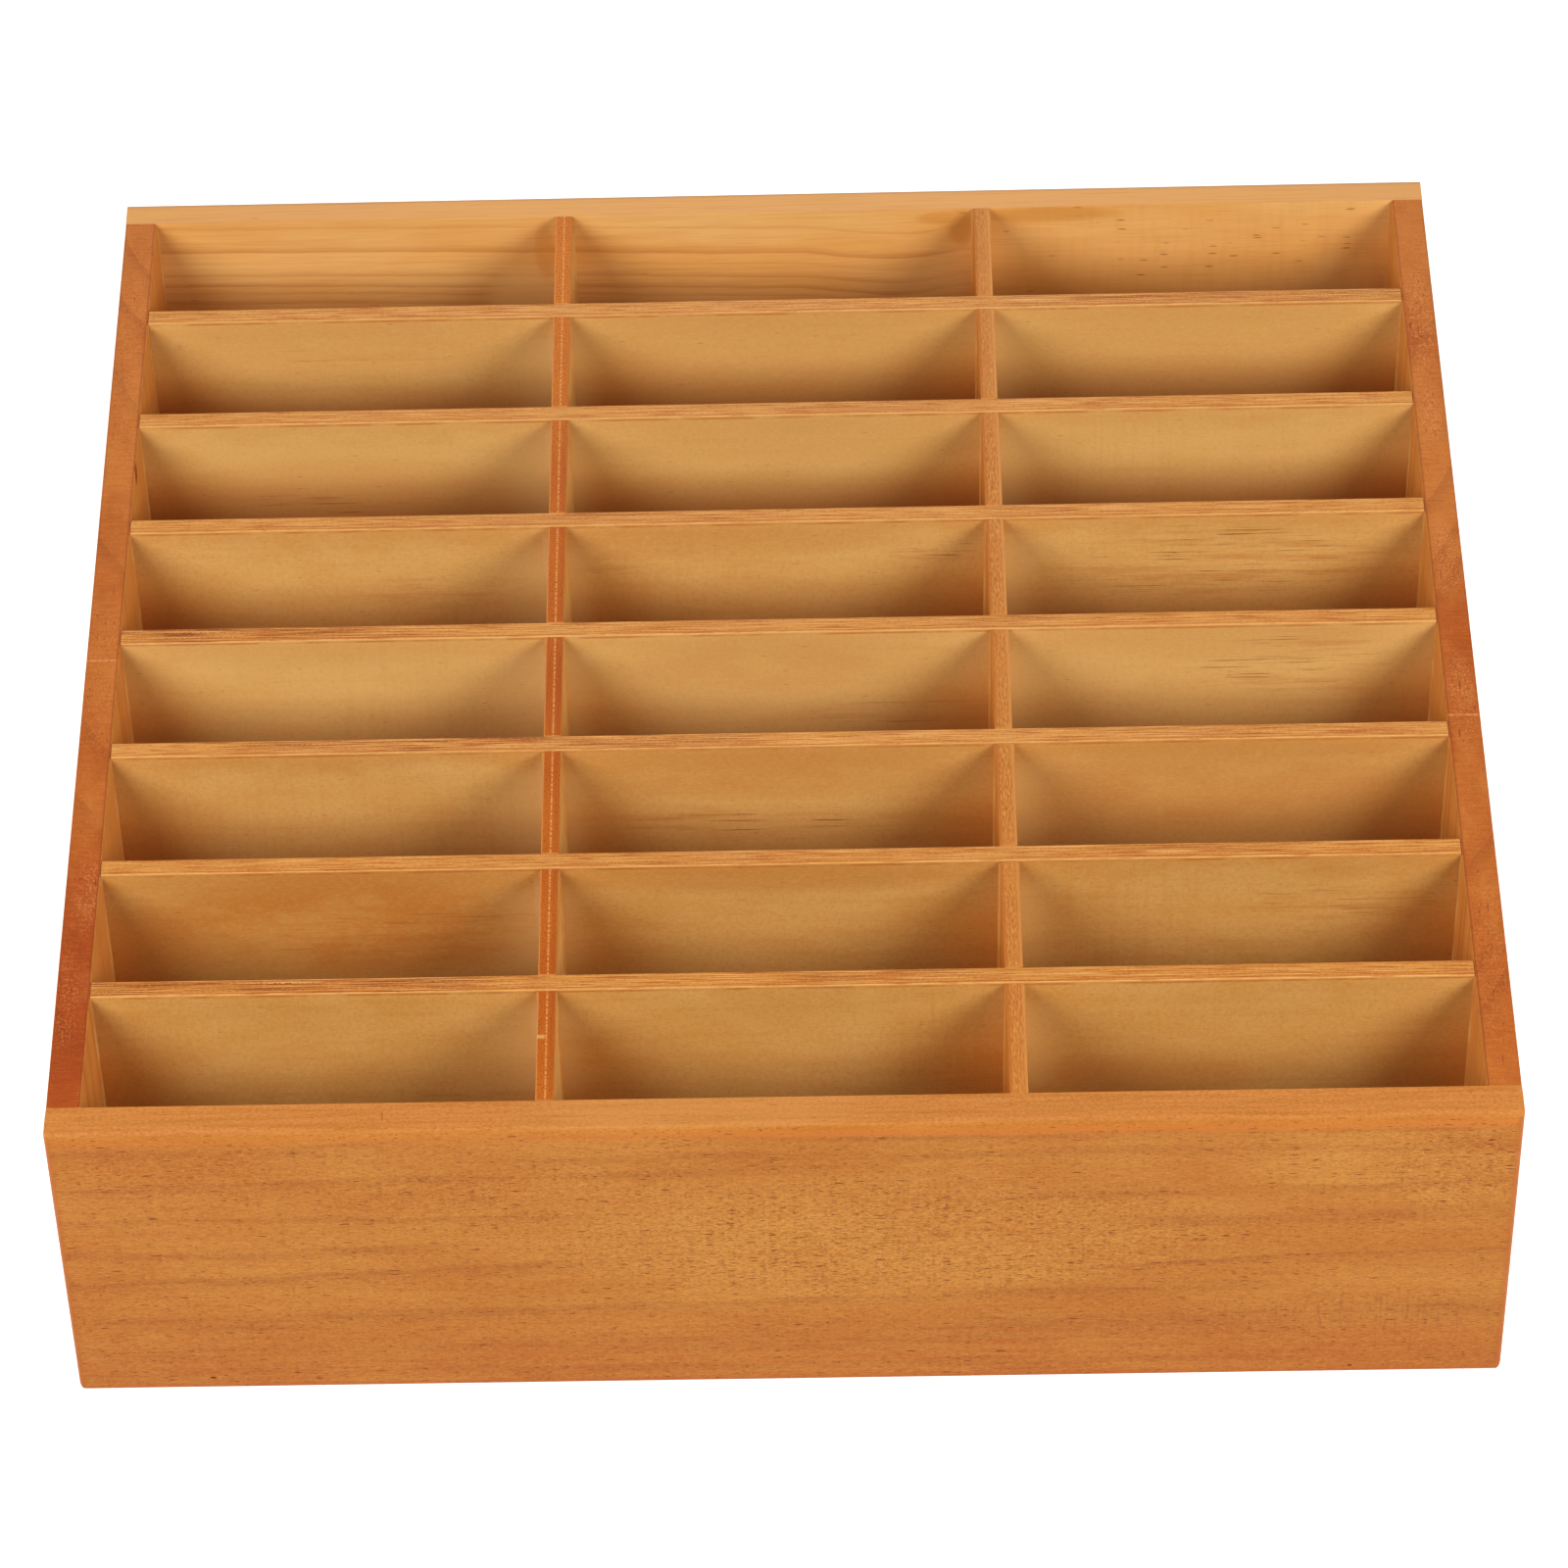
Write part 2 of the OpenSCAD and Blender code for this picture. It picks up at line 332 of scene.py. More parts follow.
def front_face(s, grain):
    """Colour, pits and fibre of the front board's outer face."""
    wave = s.noise(s.stretched(grain, 60, 16, 60), detail=2)
    ripple = s.noise(s.stretched(grain, 14, 5, 30), detail=2)
    height = s.calc("ADD", s.z, s.calc("ADD", s.centred(wave, 5.0), s.centred(ripple, 1.4)))
    rings = 0.0
    for ring in FRONT_RINGS:
        rings = s.calc("MAXIMUM", growth_ring(s, height, ring), rings)
    broken = s.noise(s.stretched(grain, 34, 3), detail=3, roughness=0.6)
    thread = s.noise(s.stretched(grain, 16, 0.7), detail=3, roughness=0.6)
    threads = s.product(rings, s.ease(thread, 0.52, 0.68))
    rings = s.product(rings, s.ease(broken, 0.3, 0.65, 0.25, 1.0))
    streak = s.noise(s.stretched(grain, 30, 1.4), detail=4, roughness=0.7)
    fibre = s.noise(s.stretched(grain, 1.6, 0.3), detail=3, roughness=0.7)
    blotch = s.noise(s.stretched(grain, 45, 14), detail=4, roughness=0.6)
    pale = s.patches(s.x, height, FRONT_PALE)
    light = s.calc("MULTIPLY_ADD", pale, 0.45, s.ease(blotch, 0.3, 0.7, 0.0, 0.7), clamp=True)
    colour = s.mix(light, FRONT_MID, FRONT_LIGHT)
    red = s.calc("MAXIMUM", s.ease(s.z, 30, 4), s.ease(s.x, -90, -170, 0.0, 0.5))
    colour = s.mix(s.product(red, s.ease(streak, 0.3, 0.7, 0.1, 0.6)), colour, FRONT_RED)
    colour = s.tint(colour, streak, 0.45, 0.75, 0.4, FRONT_RED)
    colour = s.mix(s.product(rings, 0.6), colour, FRONT_DARK)
    colour = s.mix(s.product(threads, 0.6), colour, FRONT_DARK)
    speck = s.noise(s.stretched(grain, 1.0, 0.42), detail=2, roughness=0.8)
    pitted = s.patches(s.x, s.z, FRONT_PITTED)
    rough_zone = s.calc("MULTIPLY_ADD", pitted, 0.4, 0.3)
    colour = s.tint(colour, fibre, 0.45, 0.7, 0.5, FRONT_DARK)
    colour = s.tint(colour, fibre, 0.5, 0.3, 0.4, FRONT_LIGHT)
    colour = s.mix(s.product(s.ease(speck, 0.52, 0.7), rough_zone), colour, FRONT_DARK)
    colour = s.mix(s.product(s.ease(speck, 0.46, 0.3), rough_zone, 0.9), colour, FRONT_BLOND)
    # Rays and cutter marks stand across the grain at the lower right
    ray = s.noise(s.stretched(grain, 0.7, 7), detail=2)
    rays = s.product(s.window(s.x, 85, 172, 20), s.window(s.z, 10, 30, 6), s.ease(ray, 0.55, 0.75, 0.0, 0.4))
    colour = s.mix(rays, colour, FRONT_DARK)
    return colour, front_pits(s, grain, rings, pitted), fibre


def front_top(s, streak):
    """Colour of the front board's top face."""
    top = s.tint(FRONT_TOP, streak, 0.35, 0.7, 0.8, FRONT_MID)
    grit = s.noise(s.stretched(s.place, 0.9, 0.45, 3), detail=2, roughness=0.6)
    top = s.tint(top, grit, 0.5, 0.72, 0.35, FRONT_DARK)
    top = s.tint(top, grit, 0.48, 0.28, 0.45, FRONT_BLOND)
    return s.mix(s.product(s.window(s.x, -70, 30, 30), 0.3), top, FRONT_BLOND)


def front_material():
    s = Shader("front_board_wood")
    grain = s.grain("xzy", 1)
    colour, pits, fibre = front_face(s, grain)
    face = s.ease(s.normal[2], 0.6, 0.2)
    pits = s.product(pits, s.ease(s.normal[2], 0.9, 0.3, 0.35, 1.0))
    streak = s.noise(s.sheet(s.x, 30, s.y, 1, 7.0), detail=4, roughness=0.6)
    colour = s.mix(s.product(s.on_top(), 0.9), colour, front_top(s, streak))
    # A redder crest along the rounded top edge, and a redder rim round the rest of the face
    ragged = s.calc("ADD", s.z, s.centred(streak, 1.6))
    crest = s.window(ragged, FRONT_TOP_Z - 4.2, FRONT_TOP_Z - 0.2, 1.9)
    colour = s.mix(s.product(crest, s.ease(s.x, -60, 0, 0.35, 0.65)), colour, FRONT_CREST)
    ends = s.ease(s.calc("ABSOLUTE", s.x), HALF_W - 2.4, HALF_W - 0.4)
    rim = s.calc("MAXIMUM", s.ease(s.z, 2.6, 0.6), ends)
    colour = s.mix(s.product(rim, face, 0.65), colour, FRONT_RED)
    colour = s.mix(s.product(s.patch(s.x, s.y, TOP_MARK), s.on_top(), 0.5), colour, FRONT_DARK)
    colour, rough = s.pitted(colour, PORE, pits, s.ease(fibre, 0.3, 0.7, 0.42, 0.52))
    height = s.calc("SUBTRACT", s.calc("MULTIPLY", fibre, 0.5), s.calc("MULTIPLY", pits, 0.5))
    return s.finish(colour, rough, height, 0.05)


# Painted shade deep inside the compartments and in their corners, multiplied into the wood
DEEP_PAINTED_SHADE = (0.72, 0.50, 0.43, 1.0)
CORNER_PAINTED_SHADE = (0.96, 0.76, 0.57, 1.0)

# Back board
BACK_LIGHT = rgb(239, 184, 108)
BACK_MID = rgb(232, 168, 90)
BACK_DARK = rgb(184, 104, 42)
BACK_TOP = rgb(228, 164, 100)
# Stain and grain colour, also used for painted shade low in the right-hand compartment
BACK_STAIN_AND_SHADE = rgb(206, 134, 54)
BACK_PORE = rgb(150, 76, 22)
# Wander of the growth rings along the inner face, as (x, how much deeper they lie)
BACK_WANDER = [
    (-162, 0.0), (-90, 1.6), (-50, 2.4), (-20, 3.2), (8, 3.8), (20, 5.6), (34, 7.2), (44, 5.6),
    (60, 3.0), (162, 2.0),
]
# Growth rings below the top edge as (depth, width, darkness)
BACK_RINGS = [
    (1.4, 1.0, 0.45), (8.9, 3.2, 0.85), (12.6, 1.6, 0.25), (16.6, 2.2, 0.6), (20.0, 1.8, 0.75),
    (22.4, 1.4, 0.45), (25.4, 1.6, 0.5), (29.5, 2.2, 0.6), (35.0, 3.0, 0.7),
]
# Patches of the inner face as (x, depth, x radius, depth radius, strength): vessel lines,
# glue stains beside the long dividers, and painted light in the low corners beside the uprights
BACK_PITTED = [(125, 12, 40, 12, 1.0), (92, 14, 26, 14, 0.7), (150, 4, 16, 6, 1.0), (60, 8, 8, 6, 0.4)]
BACK_STAINS = [(-60, 11, 3.6, 11, 0.8), (49.5, 6, 4.5, 7, 1.0), (72, 2.4, 24, 3.0, 0.9), (44, 3, 8, 2.4, 0.8)]
BACK_PAINTED_LIGHT = [(-66, 26, 12, 12, 0.7), (42, 26, 12, 12, 0.4), (150, 26, 12, 12, 0.3)]


def back_rings(s, grain, depth):
    """Darkness of the pine growth rings: a soft upper side and a crisp lower one."""
    deepest = BACK_RINGS[-1][0] + 5
    share = s.calc("MULTIPLY_ADD", s.x, 1 / INNER_W, 0.5, clamp=True)
    peak = max(shift for x, shift in BACK_WANDER)
    wander = s.ramp(share, [(x / INNER_W + 0.5, shift / peak) for x, shift in BACK_WANDER], "B_SPLINE")
    wave = s.noise(s.stretched(grain, 70, 20, 60), detail=2)
    ripple = s.noise(s.stretched(grain, 12, 3, 60), detail=2)
    level = s.calc("SUBTRACT", depth, s.calc("MULTIPLY", wander, peak))
    level = s.calc("ADD", level, s.calc("ADD", s.centred(wave, 2.4), s.centred(ripple, 0.8)))
    # Further down the listed rings repeat
    level = s.calc("MODULO", level, deepest)
    stops = []
    for place, width, dark in BACK_RINGS:
        stops += [(place - width * 0.75, 0.0), (place, dark), (place + 0.3, 0.0)]
    return s.ramp(s.calc("DIVIDE", level, deepest), [(p / deepest, d) for p, d in sorted(stops)], "LINEAR")


def back_top(s):
    """Colour of the back board's top face."""
    streak = s.noise(s.sheet(s.x, 50, s.y, 1.6, 3.0), detail=3)
    top = s.tint(BACK_TOP, streak, 0.35, 0.7, 0.6, BACK_MID)
    line = s.noise(s.sheet(s.x, 24, s.y, 0.5, 6.0), detail=3)
    return s.tint(top, line, 0.5, 0.7, 0.4, BACK_STAIN_AND_SHADE)


def back_material():
    s = Shader("back_board_wood")
    grain = s.grain("xzy", 2)
    depth = s.calc("SUBTRACT", INNER_TOP_Z, s.z)
    rings = back_rings(s, grain, depth)
    fibre = s.noise(s.stretched(grain, 12, 0.4), detail=3, roughness=0.65)
    blotch = s.noise(s.stretched(grain, 60, 16), detail=3)
    streak = s.noise(s.stretched(grain, 60, 1.8), detail=3, roughness=0.6)
    colour = s.mix(s.ease(blotch, 0.3, 0.7), BACK_MID, BACK_LIGHT)
    inside = s.ease(s.normal[1], -0.2, -0.6)
    # The pine's rings are plain to the left of the right long divider and faint beyond it
    pine = s.calc("MULTIPLY_ADD", s.ease(s.x, 38, 60, 0.2, -0.3), inside, 0.35)
    colour = s.mix(s.product(rings, pine), colour, BACK_DARK)
    colour = s.mix(s.product(s.ease(streak, 0.5, 0.8), pine, 0.35), colour, BACK_DARK)
    colour = s.tint(colour, fibre, 0.35, 0.75, 0.2, BACK_DARK)
    chatter = s.noise(s.stretched(grain, 2.2, 14), detail=2)
    right = s.product(s.ease(s.x, 52, 70), inside)
    colour = s.mix(s.product(right, s.ease(chatter, 0.4, 0.8, 0.0, 0.12)), colour, BACK_DARK)
    stain = s.product(s.patches(s.x, depth, BACK_STAINS), inside)
    colour = s.mix(s.product(stain, 0.6), colour, BACK_STAIN_AND_SHADE)
    # Painted shade deep down and in the corners, and painted light in the low corners beside the uprights
    colour = s.mix(s.product(s.ease(depth, 12, 34), inside, 0.35), colour, DEEP_PAINTED_SHADE, "MULTIPLY")
    colour = s.mix(s.product(shade_in_corners(s, depth), inside, 0.15), colour, CORNER_PAINTED_SHADE, "MULTIPLY")
    colour = s.mix(s.product(s.patches(s.x, depth, BACK_PAINTED_LIGHT), inside), colour, BACK_LIGHT)
    # Painted shade low down in the right-hand compartment
    shade = s.product(s.window(s.x, 48, 150, 24), s.ease(depth, 6, 18), inside, 0.4)
    colour = s.mix(shade, colour, BACK_STAIN_AND_SHADE)
    crowd = s.patches(s.x, depth, BACK_PITTED)
    pits = s.flecks(grain, 6.0, 0.85, s.calc("MULTIPLY_ADD", crowd, 0.3, 0.015), size=0.26)
    colour = s.mix(s.product(s.on_top(), 0.9), colour, back_top(s))
    pits = s.product(pits, s.ease(s.normal[2], 0.8, 0.3, 0.5, 0.85))
    height = s.calc("SUBTRACT", s.calc("MULTIPLY", fibre, 0.5), s.calc("MULTIPLY", pits, 0.5))
    rough = s.calc("MULTIPLY_ADD", stain, -0.15, s.ease(blotch, 0.3, 0.7, 0.44, 0.54))
    colour, rough = s.pitted(colour, BACK_PORE, pits, rough)
    return s.finish(colour, rough, height, 0.04)


# Side boards
SIDE_FACE = rgb(206, 134, 62)
SIDE_DARK = rgb(178, 100, 40)
SIDE_END = rgb(206, 121, 52)
SIDE_END_RED = rgb(176, 80, 20)
SIDE_END_DARK = rgb(134, 56, 12)
# Painted shade along the arrises of the end grain
SIDE_ARRIS_SHADE = rgb(146, 56, 8)
SIDE_PALE = rgb(226, 150, 90)
SIDE_PORE = rgb(104, 44, 16)
SEAM = rgb(228, 150, 86)
SIDE_INNER = rgb(220, 142, 64)
# Growth arcs across the slanting end grain as the y where they cross the middle line, and how far
# they lean in y for each millimetre of x
ARC_SKEW = 1.6
SIDE_ARCS = {
    "left_front_stave": [-112, -88, -52, -30], "left_rear_stave": [24, 78, 104, 122],
    "right_front_stave": [-108, -94, -70], "right_rear_stave": [12, 22, 40, 88],
}
# Patches of the end grain with pores as (x from the middle line, y, x radius, y radius, strength)
SIDE_PITTED = {
    "left_front_stave": [(2, -75, 4, 14, 0.7), (-1, -105, 4, 16, 0.5), (0, -20, 5, 20, 0.3)],
    "left_rear_stave": [(0, 0, 5, 12, 0.4), (0, 95, 4, 40, 0.25)],
    "right_front_stave": [(0, -100, 5, 30, 0.35), (0, -34, 4, 8, 0.5)],
    "right_rear_stave": [(0, -22, 4, 14, 0.8), (0, 16, 4, 14, 1.0), (0, 62, 3, 10, 0.9), (0, 92, 4, 22, 0.9)],
}
# Knot on a stave's faces as (y, depth below the top)
SIDE_KNOTS = {"left_rear_stave": (53, 2.5)}
# Darker stretch of a stave's top as (low y, high y), and its tint
SIDE_SHADED = {"left_front_stave": (-150, -55)}
SIDE_SHADE = (0.88, 0.78, 0.88, 1.0)
# Drift of the end grain's lightness along each side as (y, lightness), and the top of its range
TONE_TOP = 1.2
LEFT_TONE = [(-133, 0.0), (-84, 0.0), (-8, 0.8), (20, 0.5), (62, 0.95), (133, 1.1)]
RIGHT_TONE = [(-133, 0.6), (-92, 0.4), (-12, 0.3), (40, 1.15), (90, 0.7), (133, 0.95)]


def end_tone(s, levels):
    """Lightness of the end grain along a side board, from 0 to 1."""
    blotch = s.noise(s.stretched(s.place, 26, 26, 60), detail=3)
    share = s.calc("MULTIPLY_ADD", s.y, 1 / INNER_D, 0.5, clamp=True)
    lightness = s.ramp(share, [(y / INNER_D + 0.5, level / TONE_TOP) for y, level in levels])
    return s.calc("MULTIPLY_ADD", lightness, TONE_TOP, s.ease(blotch, 0.3, 0.7, -0.25, 0.25), clamp=True)


def end_arcs(s, across, places, skew):
    """Darkness of the growth arcs that cross the end grain."""
    wave = s.noise(s.stretched(s.place, 18, 14, 200), detail=2)
    along = s.calc("ADD", s.calc("MULTIPLY_ADD", across, skew, s.y), s.centred(wave, 9.0))
    arcs = 0.0
    for place in places:
        above = s.calc("SUBTRACT", along, place)
        arc = s.product(s.ease(above, -9, 0), s.ease(above, 0.9, 0))
        arcs = s.calc("MAXIMUM", arc, arcs)
    return arcs


def end_grain(s, name, middle_x):
    """Colour, pits and saw marks of the slanting end grain on top of a side board's stave."""
    side = -1 if middle_x < 0 else 1
    across = s.calc("SUBTRACT", s.x, middle_x)
    saw = s.noise(s.stretched(s.place, 5, 0.5, 50), detail=3)
    grit = s.noise(s.stretched(s.place, 0.5, 0.5, 40), detail=2)
    colour = s.mix(end_tone(s, LEFT_TONE if side < 0 else RIGHT_TONE), SIDE_END_RED, SIDE_END)
    arcs = end_arcs(s, across, SIDE_ARCS[name], -side * ARC_SKEW)
    colour = s.mix(s.product(arcs, 0.26), colour, SIDE_END_DARK)
    colour = s.tint(colour, saw, 0.4, 0.75, 0.25, SIDE_END_DARK)
    colour = s.tint(colour, saw, 0.5, 0.25, 0.3, SIDE_END)
    colour = s.tint(colour, grit, 0.45, 0.7, 0.22, SIDE_END_DARK)
    colour = s.tint(colour, grit, 0.45, 0.25, 0.3, SIDE_FACE)
    patchy = s.noise(s.stretched(s.place, 5, 11, 60), detail=3)
    colour = s.tint(colour, patchy, 0.48, 0.7, 0.15, SIDE_END_DARK)
    colour = s.tint(colour, patchy, 0.46, 0.3, 0.25, SIDE_FACE)
    if name in SIDE_SHADED:
        colour = s.mix(s.window(s.y, *SIDE_SHADED[name], 30), colour, SIDE_SHADE, "MULTIPLY")
    pitted = s.patches(across, s.y, SIDE_PITTED[name])
    lines = s.flecks(s.joined(s.y, s.x, 3.0), 7.0, 0.7, s.calc("MULTIPLY_ADD", pitted, 0.4, 0.01), size=0.28)
    dots = s.flecks(s.joined(s.y, s.x, 9.0), 2.2, 0.7, s.calc("MULTIPLY", pitted, 0.5), size=0.3)
    pits = s.calc("MAXIMUM", lines, s.product(dots, 0.8))
    colour = s.mix(s.product(s.ease(grit, 0.5, 0.35), pitted, 0.5), colour, SIDE_PALE)
    # Painted shade, darker along both arrises, most of all along the inner one
    half = BOARD_T / 2
    inner = s.ease(s.calc("MULTIPLY", across, -side), half - 0.8, half - 0.3)
    rim = s.ease(s.calc("ABSOLUTE", across), half - 0.9, half - 0.1)
    rim = s.calc("MAXIMUM", s.product(inner, 0.5), s.product(rim, 0.22))
    colour = s.mix(rim, colour, SIDE_ARRIS_SHADE)
    return s.mix(s.product(pits, 0.75), colour, SIDE_PORE), pits, saw


def side_material(name, seed, seam_y):
    s = Shader(name + "_wood")
    grain = s.grain("zyx", seed)
    fibre = s.noise(s.stretched(grain, 14, 0.5), detail=3, roughness=0.65)
    streak = s.noise(s.stretched(grain, 70, 9), detail=3)
    colour = s.mix(s.ease(streak, 0.3, 0.7), SIDE_FACE, SIDE_DARK)
    inward = s.product(s.normal[0], 1 if LOW[name].x < 0 else -1)
    colour = s.mix(s.ease(inward, 0.5, 0.9), colour, SIDE_INNER)
    band = s.noise(s.stretched(grain, 90, 2.0), detail=3, roughness=0.6)
    colour = s.tint(colour, band, 0.5, 0.68, 0.5, SIDE_END_RED)
    colour = s.tint(colour, fibre, 0.35, 0.75, 0.3, SIDE_DARK)
    pores = s.product(s.flecks(grain, 5, 0.9, 0.22), 0.7, s.ease(s.normal[2], 0.7, 0.3))
    colour = s.mix(pores, colour, PORE)
    middle_x = (LOW[name].x + HIGH[name].x) / 2
    if name in SIDE_KNOTS:
        y, drop = SIDE_KNOTS[name]
        knot = s.patch(s.y, s.below_top(), (y, drop, 2.6, 3.4))
        colour = s.mix(knot, colour, SIDE_END_DARK)
    end, dots, saw = end_grain(s, name, middle_x)
    top = s.on_top()
    colour = s.mix(top, colour, end)
    seam = s.stripe(s.y, seam_y, 0.42, 0.4)
    gap = s.noise(s.stretched(s.place, 1.2, 40, 6), detail=2)
    colour = s.mix(s.product(seam, s.ease(gap, 0.35, 0.6, 0.15, 0.7)), colour, SEAM)
    height = s.calc("SUBTRACT", s.calc("MULTIPLY", s.mix(top, fibre, saw), 0.5), s.mix(top, pores, dots))
    return s.finish(colour, 0.5, height, 0.04)


# Plywood dividers
PLY_LIGHT = rgb(228, 174, 98)
PLY_MID = rgb(218, 160, 80)
PLY_ORANGE = rgb(204, 124, 48)
PLY_RED = rgb(186, 98, 38)
PLY_DARK = rgb(140, 76, 30)
# Pale threads of the plywood edges, also the colour of the painted highlight on the front arris
ARRIS_PALE_AND_HIGHLIGHT = rgb(240, 180, 106)
EDGE_PALE = rgb(234, 168, 93)
EDGE_LIGHT = rgb(218, 148, 66)
EDGE_MID = rgb(196, 118, 46)
EDGE_ORANGE = rgb(180, 94, 32)
EDGE_DARK = rgb(132, 60, 18)
# Painted shade deep beside the uprights as (x of the face, side it lies on, strength)
SHADED_CORNERS = [
    (-INNER_W / 2, 1, 1.0), (HIGH[LONG[0]].x, 1, 0.8), (LOW[LONG[1]].x, -1, 1.0),
    (HIGH[LONG[1]].x, 1, 0.2), (INNER_W / 2, -1, 1.0),
]
# Looks of the cross dividers from the front one to the rear one. Front face: light is how light it
# is, tone is its (paleness, shade, strength of the painted shade deep down), border is the strength of the
# orange zone under the top edge, chatter is a span of x with faint upright cutter marks, and
# streaks (dark lines along the grain) and orange (stained areas) are patches of
# (x, depth below the top, x radius, depth radius, strength). Top edge: top_pale is how much paler
# it is, and brown lists its spans with dark threads as (low x, high x, strength)
DIVIDER_LOOKS = [
    {
        "light": 0.25, "tone": (0.0, 0.96, 0.2), "border": 0.12, "chatter": (20, 60),
        "streaks": [(44, 28, 16, 6, 0.5), (-100, 33, 50, 5, 0.5)],
        "orange": [(85, 30, 36, 9, 0.5)],
        "top_pale": 0.0, "brown": [(-200, -60, 1.3), (-20, 60, 0.5), (90, 140, 0.3)],
    },
    {
        "light": 0.4, "tone": (0.0, 0.89, 0.08), "border": 0.3, "chatter": (60, 110),
        "streaks": [(-88, 20, 44, 11, 0.7), (132, 15, 30, 6, 0.9)],
        "orange": [(-104, 16, 64, 24, 0.95), (0, 4, 60, 6, 0.5)],
        "top_pale": 0.15, "brown": [(-60, 20, 0.4), (60, 140, 0.5)],
    },
    {
        "light": 0.5, "tone": (0.1, 0.94, 0.5), "border": 0.45, "chatter": (-162, -56),
        "streaks": [(-5, 24, 42, 6, 0.8)],
        "orange": [(0, 8, 62, 10, 0.7), (108, 14, 58, 20, 0.65)],
        "top_pale": 0.5, "brown": [(-150, 0, 0.8), (60, 160, 0.4)],
    },
    {
        "light": 0.9, "tone": (0.28, 0.97, 0.44), "border": 0.3, "chatter": (-120, -60),
        "streaks": [(128, 12, 34, 12, 0.9), (30, 26, 30, 6, 0.4)],
        "orange": [(-2, 9, 44, 12, 0.7), (110, 4, 54, 9, 0.45), (-110, 3, 54, 7, 0.3)],
        "top_pale": 0.3, "brown": [(-200, -80, 1.0), (20, 90, 0.5)],
    },
    {
        "light": 0.7, "tone": (0.14, 0.94, 0.7), "border": 0.4, "chatter": (-50, 0),
        "streaks": [
            (112, 14, 52, 14, 1.0), (-86, 20, 20, 9, 0.5), (40, 9, 16, 5, 0.8), (-43, 14, 10, 5, 0.5),
        ],
        "orange": [(-20, 6, 70, 6, 0.5)],
        "top_pale": 0.4, "brown": [(-120, 0, 0.4)],
    },
    {
        "light": 0.6, "tone": (0.26, 0.95, 1.0), "border": 0.35, "chatter": (60, 162),
        "streaks": [(-119, 26, 36, 6, 0.7)],
        "orange": [(-110, 20, 50, 12, 0.5), (10, 8, 60, 9, 0.4)],
        "top_pale": 0.45, "brown": [(-40, 60, 0.3)],
    },
    {
        "light": 0.4, "tone": (0.26, 0.96, 0.95), "border": 0.35, "chatter": (-110, -56),
        "streaks": [(-110, 12, 40, 5, 0.2)],
        "orange": [(-108, 8, 56, 12, 0.5), (0, 12, 62, 26, 0.5), (110, 11, 56, 20, 0.45)],
        "top_pale": 0.55, "brown": [(40, 190, 0.7)],
    },
]
# Painted bounce light beside the long dividers as (x of the face, side it lies on, reach, strength)
BOUNCE_LIT_SIDES = [
    (LOW[LONG[0]].x, -1, 16, 1.0), (HIGH[LONG[0]].x, 1, 9, 0.9), (HIGH[LONG[1]].x, 1, 12, 1.0),
]
STRIP_PALE = rgb(226, 190, 136)
# Pale wood tone of a whole divider, also the colour of the painted bounce light beside the long dividers
PLY_PALE_AND_BOUNCE = rgb(232, 196, 124)


def ply_edge(s, along, across, seed, brown, pale):
    """Colour of a plywood edge; across runs from -0.5 to 0.5 through the thickness."""
    fine = s.noise(s.sheet(along, 11, across, 1 / 13, seed), detail=4, roughness=0.6)
    broad = s.noise(s.sheet(along, 40, across, 1 / 3, seed + 9.0), detail=2)
    high = s.mix(pale, EDGE_LIGHT, EDGE_PALE)
    low = s.mix(pale, EDGE_ORANGE, EDGE_MID)
    colour = s.mix(s.ease(fine, 0.36, 0.56), low, high)
    colour = s.tint(colour, broad, 0.45, 0.7, 0.35, EDGE_ORANGE)
    colour = s.mix(s.product(brown, 0.2), colour, EDGE_ORANGE)
    thread = s.noise(s.sheet(along, 26, across, 1 / 20, seed + 3.0), detail=3)
    dash_line = s.noise(s.line(along, 6, seed, 4.0), detail=3)
    rear_thread = s.calc("MULTIPLY_ADD", across, 0.06, thread)
    colour = s.mix(s.product(s.ease(rear_thread, 0.53, 0.6), brown), colour, EDGE_DARK)
    colour = s.tint(colour, thread, 0.44, 0.36, 0.9, ARRIS_PALE_AND_HIGHLIGHT)
    grit = s.noise(s.sheet(along, 0.9, across, 1 / 9, seed + 5.0), detail=2)
    colour = s.tint(colour, grit, 0.5, 0.75, 0.25, EDGE_DARK)
    colour = s.tint(colour, grit, 0.48, 0.28, 0.3, EDGE_PALE)
    # A painted highlight along the front arris with a broken dark line behind it
    behind = s.product(s.stripe(across, -0.36, 0.06), s.ease(fine, 0.4, 0.62, 0.0, 0.8))
    colour = s.mix(behind, colour, EDGE_ORANGE)
    arris_highlight = s.product(s.ease(across, -0.42, -0.46), s.ease(dash_line, 0.35, 0.6, 0.15, 0.8))
    colour = s.mix(arris_highlight, colour, ARRIS_PALE_AND_HIGHLIGHT)
    dash = s.noise(s.sheet(along, 0.6, across, 1 / 6, seed), detail=2)
    zone = s.noise(s.line(along, 22, seed, 1.0), detail=2)
    glue = s.calc("MAXIMUM", s.stripe(across, 0.2, 0.06), s.stripe(across, -0.17, 0.05))
    dots = s.product(glue, s.ease(dash, 0.4, 0.6), s.ease(zone, 0.42, 0.62, 0.1, 0.8), brown)
    colour = s.mix(dots, colour, EDGE_DARK)
    return colour, fine


def shade_in_corners(s, depth):
    """Painted shade deep beside the uprights that close a compartment."""
    near = 0.0
    for x, side, strength in SHADED_CORNERS:
        away = s.calc("MULTIPLY_ADD", s.x, side, -side * x)
        beside = s.product(s.ease(away, 32, 3, 0.0, strength), s.ease(away, -2, -1))
        near = s.calc("MAXIMUM", beside, near)
    return s.product(near, s.ease(depth, 4, 26))


